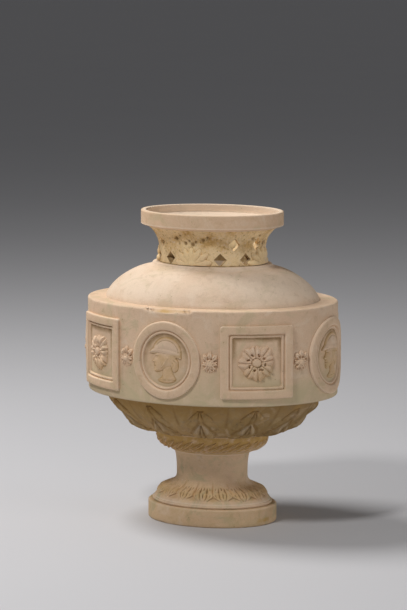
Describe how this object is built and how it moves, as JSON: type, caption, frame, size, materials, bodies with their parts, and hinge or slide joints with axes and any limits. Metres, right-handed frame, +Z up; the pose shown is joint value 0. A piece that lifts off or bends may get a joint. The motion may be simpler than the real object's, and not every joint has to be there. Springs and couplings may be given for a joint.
{
  "type": "potpourri vase",
  "caption": "Oval footed vase with a pierced neck, a domed shoulder and a drum set with framed rosettes and medallions, for holding scented dried petals.",
  "frame": {"origin": "centre of the plinth's underside, on the surface that the vase stands on", "axes": "+Z up, +X along the length of the oval, -Y out of the front"},
  "size_m": [0.2048, 0.1628, 0.24],
  "materials": {
    "body_clay": "matte, unglazed",
    "shaded_clay": "matte, unglazed, stained",
    "sprig_clay": "matte, unglazed"
  },
  "bodies": {
    "root": {"plinth": "body_clay", "pedestal": "body_clay", "drum": "body_clay", "shoulder": "body_clay", "neck": "body_clay", "rim": "body_clay", "collar": "shaded_clay", "bowl": "shaded_clay", "bowl_leaves": "shaded_clay", "foot_leaves": "sprig_clay", "collar_wreath": "sprig_clay", "square_frame_1": "sprig_clay", "square_frame_2": "sprig_clay", "square_frame_3": "sprig_clay", "square_frame_4": "sprig_clay", "square_rosette_1": "sprig_clay", "square_rosette_2": "sprig_clay", "square_rosette_3": "sprig_clay", "square_rosette_4": "sprig_clay", "medallion_frame_1": "sprig_clay", "medallion_frame_2": "sprig_clay", "medallion_frame_3": "sprig_clay", "medallion_frame_4": "sprig_clay", "medallion_head_1": "sprig_clay", "medallion_head_2": "sprig_clay", "medallion_head_3": "sprig_clay", "medallion_head_4": "sprig_clay", "link_rosette_1": "sprig_clay", "link_rosette_2": "sprig_clay", "link_rosette_3": "sprig_clay", "link_rosette_4": "sprig_clay", "link_rosette_5": "sprig_clay", "link_rosette_6": "sprig_clay", "link_rosette_7": "sprig_clay", "link_rosette_8": "sprig_clay", "neck_palmette_1": "sprig_clay", "neck_palmette_2": "sprig_clay", "neck_palmette_3": "sprig_clay", "neck_palmette_4": "sprig_clay"}
  },
  "joints": []
}
